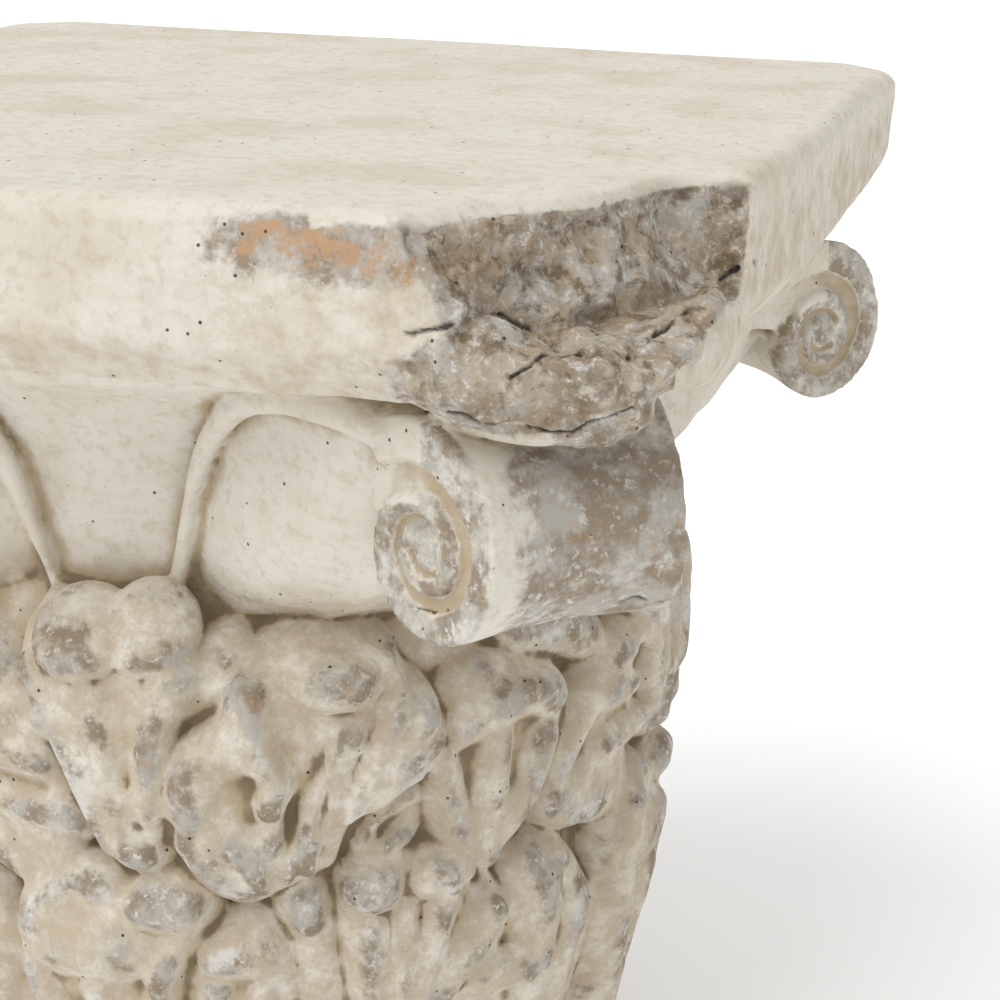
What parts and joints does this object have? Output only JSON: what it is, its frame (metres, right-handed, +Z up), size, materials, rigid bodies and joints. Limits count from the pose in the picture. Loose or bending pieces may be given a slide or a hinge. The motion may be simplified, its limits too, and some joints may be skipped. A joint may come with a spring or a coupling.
{
  "type": "corinthian capital",
  "caption": "Weathered corinthian capital with a square abacus, corner volutes and rows of acanthus leaves on a bell, with one broken corner and a flat underside.",
  "frame": {"origin": "middle of the flat underside, on the axis of the bell", "axes": "+Z up through the abacus, -Y out of the front face, +X to the right seen from the front; the broken corner is at +X -Y"},
  "size_m": [0.382, 0.382, 0.37],
  "materials": {
    "stone": "matt limewashed cast stone, worn to grey and orange on the high points, with ochre dirt in the hollows"
  },
  "bodies": {
    "root": {"capital": "stone"}
  },
  "joints": []
}
